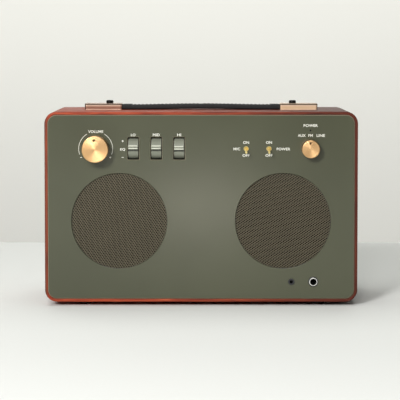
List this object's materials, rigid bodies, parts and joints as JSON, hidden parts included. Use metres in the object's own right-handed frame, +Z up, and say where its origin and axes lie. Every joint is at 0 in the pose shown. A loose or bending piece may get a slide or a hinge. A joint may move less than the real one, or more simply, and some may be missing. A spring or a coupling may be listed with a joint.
{
  "type": "stereo amplifier speaker",
  "caption": "Wooden table-top stereo amplifier with a metal control panel, round perforated grilles, brass knobs, tone rollers, toggle switches, front jacks and a leather strap handle.",
  "frame": {"origin": "middle of the footprint on the surface that the feet stand on", "axes": "+Z up, -Y out of the front panel, +X to the right seen from the front"},
  "size_m": [0.34, 0.1668, 0.2219],
  "materials": {
    "walnut": "open-grained red-brown veneer, satin lacquer",
    "fibreboard": "raw fibreboard",
    "olive_panel": "brushed, olive-green lacquer",
    "grille_steel": "perforated, dark powder coat",
    "black_cloth": "thin acoustic cloth",
    "black_board": "black textured board",
    "black_screw": "black oxide",
    "black_plate": "black satin plate",
    "black_plastic": "moulded",
    "socket_steel": "plated",
    "rubber": "soft foot",
    "driver_frame": "black pressed steel",
    "ferrite": "ferrite ring",
    "plated_steel": "zinc plated",
    "paper_cone": "pressed paper",
    "coil_former": "former with copper wire",
    "suspension_cloth": "treated cloth",
    "control_body": "pressed cover",
    "brass_knob": "spun face, knurled edge",
    "grey_roller": "satin grey",
    "gold_switch": "gold plated",
    "black_lens": "smoked lens",
    "chrome_ring": "bright",
    "circuit_board": "green resist",
    "heatsink_aluminium": "black anodised",
    "capacitor_can": "sleeved can",
    "transformer_iron": "laminated core",
    "brass_cap": "polished",
    "strap_leather": "black grained"
  },
  "bodies": {
    "cabinet": {"av_socket": "socket_steel", "board_capacitors": "capacitor_can", "board_spacers": "plated_steel", "cabinet_wrap": "walnut", "driver_screws": "black_screw", "eq_bracket": "plated_steel", "eq_pots": "control_body", "feet": "rubber", "foot_screws": "black_screw", "front_baffle": "fibreboard", "front_panel": "olive_panel", "grille_cloths": "black_cloth", "handle_screws": "black_screw", "heatsink": "heatsink_aluminium", "left_basket": "driver_frame", "left_grille": "grille_steel", "left_handle_cap": "brass_cap", "left_strap_end": "strap_leather", "left_suspension": "suspension_cloth", "line_jack": "black_plastic", "magnet_plates": "plated_steel", "main_board": "circuit_board", "mains_inlet": "black_plastic", "mic_jack": "black_plastic", "mic_jack_ring": "chrome_ring", "mic_jack_washer": "black_plastic", "panel_nuts": "plated_steel", "power_led": "black_lens", "rca_sockets": "socket_steel", "rear_cleats": "fibreboard", "rear_io_plate": "black_plate", "rear_panel": "black_board", "rear_screws": "black_screw", "right_basket": "driver_frame", "right_grille": "grille_steel", "right_handle_cap": "brass_cap", "right_strap_end": "strap_leather", "right_suspension": "suspension_cloth", "ring_magnets": "ferrite", "selector_switch": "control_body", "supply_board": "circuit_board", "toggle_bodies": "gold_switch", "transformer": "transformer_iron", "volume_pot": "control_body"},
    "volume_dial": {"volume_knob": "brass_knob", "volume_shaft": "plated_steel"},
    "selector_dial": {"selector_knob": "brass_knob", "selector_shaft": "plated_steel"},
    "eq_low": {"eq_low_wheel": "grey_roller"},
    "eq_mid": {"eq_mid_wheel": "grey_roller"},
    "eq_high": {"eq_high_wheel": "grey_roller"},
    "mic_toggle": {"mic_toggle_lever": "gold_switch"},
    "power_toggle": {"power_toggle_lever": "gold_switch"},
    "left_cone_body": {"left_cone": "paper_cone", "left_voice_coil": "coil_former"},
    "right_cone_body": {"right_cone": "paper_cone", "right_voice_coil": "coil_former"},
    "handle": {"handle_grip": "strap_leather"}
  },
  "joints": [
    {"name": "volume_turn", "type": "hinge", "parent": "cabinet", "child": "volume_dial", "pos_m": [-0.1144, -0.06655, 0.1715], "axis": [0, 1, 0], "range_deg": [-135, 135]},
    {"name": "selector_turn", "type": "hinge", "parent": "cabinet", "child": "selector_dial", "pos_m": [0.1184, -0.06655, 0.1715], "axis": [0, 1, 0], "range_deg": [-35, 35]},
    {"name": "eq_low_roll", "type": "hinge", "parent": "cabinet", "child": "eq_low", "pos_m": [-0.0737, -0.05505, 0.1718], "axis": [-1, 0, 0], "range_deg": [-36, 36]},
    {"name": "eq_mid_roll", "type": "hinge", "parent": "cabinet", "child": "eq_mid", "pos_m": [-0.0487, -0.05505, 0.1718], "axis": [-1, 0, 0], "range_deg": [-36, 36]},
    {"name": "eq_high_roll", "type": "hinge", "parent": "cabinet", "child": "eq_high", "pos_m": [-0.0239, -0.05505, 0.1718], "axis": [-1, 0, 0], "range_deg": [-33, 36]},
    {"name": "mic_toggle_flip", "type": "hinge", "parent": "cabinet", "child": "mic_toggle", "pos_m": [0.0487, -0.06655, 0.1715], "axis": [-1, 0, 0], "range_deg": [0, 32]},
    {"name": "power_toggle_flip", "type": "hinge", "parent": "cabinet", "child": "power_toggle", "pos_m": [0.0735, -0.06655, 0.1715], "axis": [-1, 0, 0], "range_deg": [0, 32]},
    {"name": "left_cone_stroke", "type": "slide", "parent": "cabinet", "child": "left_cone_body", "axis": [0, -1, 0], "range_m": [-0.0025, 0.0025], "stiffness_N_per_m": 800, "deforming": ["left_suspension"]},
    {"name": "right_cone_stroke", "type": "slide", "parent": "cabinet", "child": "right_cone_body", "axis": [0, -1, 0], "range_m": [-0.0025, 0.0025], "stiffness_N_per_m": 800, "deforming": ["right_suspension"]},
    {"name": "handle_lift", "type": "slide", "parent": "cabinet", "child": "handle", "axis": [0, 0, 1], "range_m": [0, 0.018], "deforming": ["left_strap_end", "right_strap_end"]}
  ]
}
